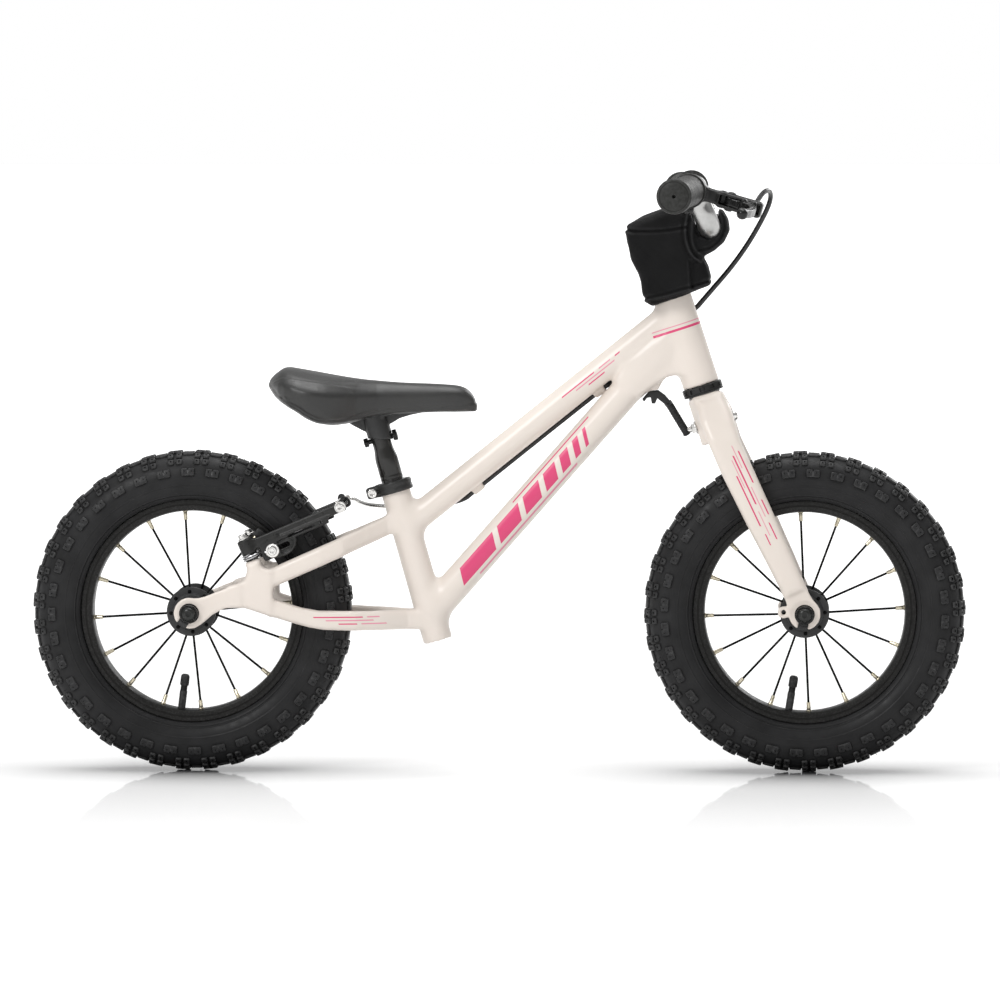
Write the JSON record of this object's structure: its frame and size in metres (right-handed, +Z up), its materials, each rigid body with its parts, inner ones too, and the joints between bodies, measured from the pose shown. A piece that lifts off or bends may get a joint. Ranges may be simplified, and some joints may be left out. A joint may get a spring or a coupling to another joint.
{
  "type": "balance bike",
  "caption": "Child's pedal-less balance bike with air tyres, a padded handlebar, an adjustable saddle and a hand-operated rear rim brake.",
  "frame": {"origin": "on the ground plane, midway between the two wheel axles, in the plane of the wheels", "axes": "+X forwards, +Y to the rider's left, +Z up"},
  "size_m": [0.915, 0.428, 0.5876],
  "materials": {
    "frame_paint": "gloss",
    "bright_steel": "satin",
    "black_metal": "satin",
    "black_steel": "satin",
    "black_plastic": "satin",
    "tyre_rubber": "matt",
    "soft_rubber": "matt",
    "saddle_vinyl": "satin",
    "pad_fabric": "matt"
  },
  "bodies": {
    "frame": {"head_tube": "frame_paint", "top_tube": "frame_paint", "down_tube": "frame_paint", "seat_tube": "frame_paint", "seat_stay_right": "frame_paint", "seat_stay_left": "frame_paint", "chain_stay_right": "frame_paint", "chain_stay_left": "frame_paint", "dropout_right": "frame_paint", "dropout_left": "frame_paint", "arm_pivot_bolts": "bright_steel", "headset_cups": "black_steel", "headset_bearings": "bright_steel", "seat_clamp": "black_metal", "seat_clamp_bolt": "bright_steel", "rear_axle": "bright_steel", "rear_axle_nuts": "black_steel", "damper_bracket": "black_steel", "damper_spring": "soft_rubber", "cable_housing": "black_plastic", "cable_noodle": "bright_steel", "cable_loop": "black_plastic"},
    "steering": {"fork_steerer": "frame_paint", "fork_leg_right": "frame_paint", "fork_leg_left": "frame_paint", "fork_dropout_right": "frame_paint", "fork_dropout_left": "frame_paint", "crown_bolt": "bright_steel", "stem": "black_metal", "stem_bolts": "black_steel", "top_cap": "black_metal", "handlebar": "bright_steel", "grip_right": "soft_rubber", "grip_left": "soft_rubber", "lever_body": "black_plastic", "handlebar_pad": "pad_fabric", "front_axle": "bright_steel", "front_axle_nuts": "black_steel"},
    "barrel_adjuster": {"barrel_adjuster": "black_plastic"},
    "front_wheel": {"front_tyre": "tyre_rubber", "front_inner_tube": "soft_rubber", "front_rim": "black_metal", "front_hub": "black_metal", "front_spokes": "black_steel", "front_bearings": "bright_steel"},
    "rear_wheel": {"rear_tyre": "tyre_rubber", "rear_inner_tube": "soft_rubber", "rear_rim": "black_metal", "rear_hub": "black_metal", "rear_spokes": "black_steel", "rear_bearings": "bright_steel"},
    "brake_lever": {"brake_lever": "black_metal"},
    "brake_arm_right": {"brake_arm_right": "black_metal", "brake_pad_right": "soft_rubber"},
    "brake_arm_left": {"brake_arm_left": "black_metal", "brake_pad_left": "soft_rubber"},
    "seat": {"seat_post": "black_metal", "saddle_shell": "black_plastic", "saddle_cover": "saddle_vinyl", "saddle_bolt": "black_steel"}
  },
  "joints": [
    {"name": "steering", "type": "hinge", "parent": "frame", "child": "steering", "pos_m": [0.1985, 0, 0.379], "axis": [-0.309, 0, 0.9511], "range_deg": [-40, 40], "stiffness_Nm_per_rad": 0.4, "deforming": ["damper_spring", "cable_loop"]},
    {"name": "front_wheel_spin", "type": "hinge", "parent": "steering", "child": "front_wheel", "pos_m": [0.3, 0, 0.1575], "axis": [0, 1, 0], "continuous": true},
    {"name": "rear_wheel_spin", "type": "hinge", "parent": "frame", "child": "rear_wheel", "pos_m": [-0.3, 0, 0.1575], "axis": [0, 1, 0], "continuous": true},
    {"name": "brake_lever_pull", "type": "hinge", "parent": "steering", "child": "brake_lever", "pos_m": [0.22725, -0.09186, 0.56009], "axis": [-0.2704, 0.0612, -0.9608], "range_deg": [0, 20], "stiffness_Nm_per_rad": 0.6, "springref_deg": -2.86},
    {"name": "brake_arm_right_swing", "type": "hinge", "parent": "frame", "child": "brake_arm_right", "pos_m": [-0.2375, -0.04, 0.207], "axis": [-0.3891, 0, 0.9212], "range_deg": [0, 4], "stiffness_Nm_per_rad": 0.3},
    {"name": "brake_arm_left_swing", "type": "hinge", "parent": "frame", "child": "brake_arm_left", "pos_m": [-0.2375, 0.04, 0.207], "axis": [-0.3891, 0, 0.9212], "range_deg": [-4, 0], "stiffness_Nm_per_rad": 0.3, "deforming": ["cable_noodle"]},
    {"name": "seat_height", "type": "slide", "parent": "frame", "child": "seat", "axis": [-0.2723, 0, 0.9622], "range_m": [-0.02, 0.05]},
    {"name": "barrel_adjuster_turn", "type": "hinge", "parent": "steering", "child": "barrel_adjuster", "pos_m": [0.24886, -0.07201, 0.55527], "axis": [-0.1131, -0.9931, -0.0314], "range_deg": [-360, 360]}
  ],
  "couplings": [
    {"joint": "brake_arm_right_swing", "follows": "brake_lever_pull", "ratio": 0.2},
    {"joint": "brake_arm_left_swing", "follows": "brake_lever_pull", "ratio": -0.2}
  ]
}
